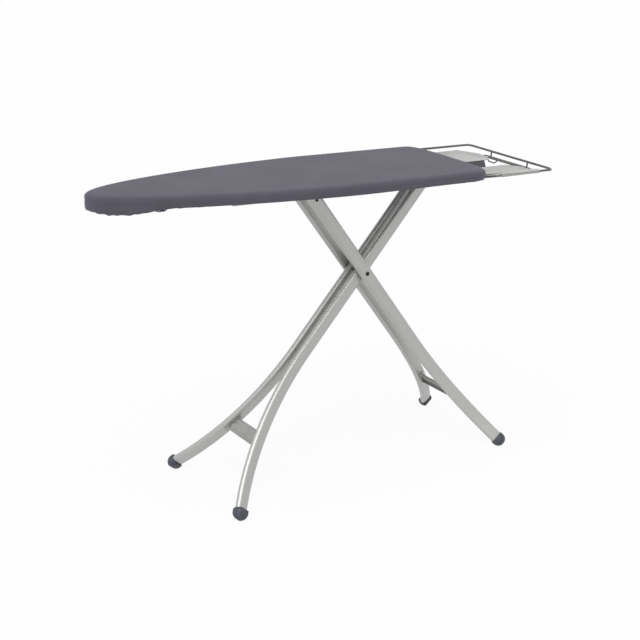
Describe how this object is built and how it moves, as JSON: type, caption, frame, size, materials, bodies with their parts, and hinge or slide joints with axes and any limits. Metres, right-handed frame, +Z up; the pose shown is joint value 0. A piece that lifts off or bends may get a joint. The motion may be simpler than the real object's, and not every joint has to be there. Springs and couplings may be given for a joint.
{
  "type": "ironing board",
  "caption": "Folding ironing board with a padded covered top, crossed flat-oval tube legs on round caps, and a wire iron rest with two plates.",
  "frame": {"origin": "on the floor, below the middle of the whole length", "axes": "+X from the nose to the iron rest, +Y from the front to the back, +Z up"},
  "size_m": [1.467, 0.4068, 0.9263],
  "materials": {
    "cover_cloth": "woven cotton, matt",
    "cord": "braided cord",
    "foam": "open foam and felt, matt",
    "board_steel": "grey powder coat",
    "zinc_steel": "zinc plated",
    "rest_wire": "dark grey semi-gloss",
    "rest_plate": "grey satin enamel",
    "leg_paint": "silver satin enamel",
    "brace_steel": "silver satin enamel",
    "black_nylon": "moulded",
    "black_steel": "blackened",
    "foot_rubber": "moulded, matt"
  },
  "bodies": {
    "board": {"cover": "cover_cloth", "drawstring": "cord", "pad": "foam", "top_panel": "board_steel", "rim": "board_steel", "cross_ribs": "board_steel", "slide_rail_front": "zinc_steel", "slide_rail_back": "zinc_steel", "tail_crossbar": "board_steel", "rest_frame": "rest_wire", "rest_inner_bars": "rest_wire", "rest_posts": "rest_wire", "rest_hook": "rest_wire", "rest_plate_front": "rest_plate", "rest_plate_back": "rest_plate", "rest_straps": "zinc_steel", "rest_screws": "black_steel", "lever_brackets": "zinc_steel", "bracket_rivets": "zinc_steel", "lever_spring": "zinc_steel"},
    "inner_legs": {"inner_leg_front": "leg_paint", "inner_leg_back": "leg_paint", "inner_brace": "brace_steel", "inner_axle": "zinc_steel", "inner_axle_sleeves": "black_nylon", "inner_axle_clips": "zinc_steel", "inner_plugs": "black_nylon", "inner_plug_bolts": "black_steel", "inner_foot_front": "foot_rubber", "inner_foot_back": "foot_rubber", "crossing_pin": "black_steel", "crossing_sleeve": "black_nylon", "crossing_washers": "black_nylon"},
    "outer_legs": {"outer_leg_front": "leg_paint", "outer_leg_back": "leg_paint", "outer_brace": "brace_steel", "slider_axle": "zinc_steel", "slider_glides": "black_nylon", "outer_plugs": "black_nylon", "outer_plug_bolts": "black_steel", "outer_foot_front": "foot_rubber", "outer_foot_back": "foot_rubber"},
    "lever": {"lever_rod": "zinc_steel", "lever_catch": "zinc_steel", "lever_handle": "zinc_steel", "lever_grip": "black_nylon"}
  },
  "joints": [
    {"name": "leg_fold", "type": "hinge", "parent": "board", "child": "inner_legs", "pos_m": [0.36826, 0, 0.87844], "axis": [0, 1, 0], "range_deg": [0, 47]},
    {"name": "leg_cross", "type": "hinge", "parent": "inner_legs", "child": "outer_legs", "pos_m": [0.1465, 0, 0.61415], "axis": [0, 1, 0], "range_deg": [-94, 0]},
    {"name": "lever_squeeze", "type": "hinge", "parent": "board", "child": "lever", "pos_m": [0.01524, -0.0685, 0.89644], "axis": [-1, 0, 0], "range_deg": [0, 25], "stiffness_Nm_per_rad": 0.8, "springref_deg": -17.19}
  ],
  "couplings": [
    {"joint": "leg_cross", "follows": "leg_fold", "ratio": -2}
  ]
}
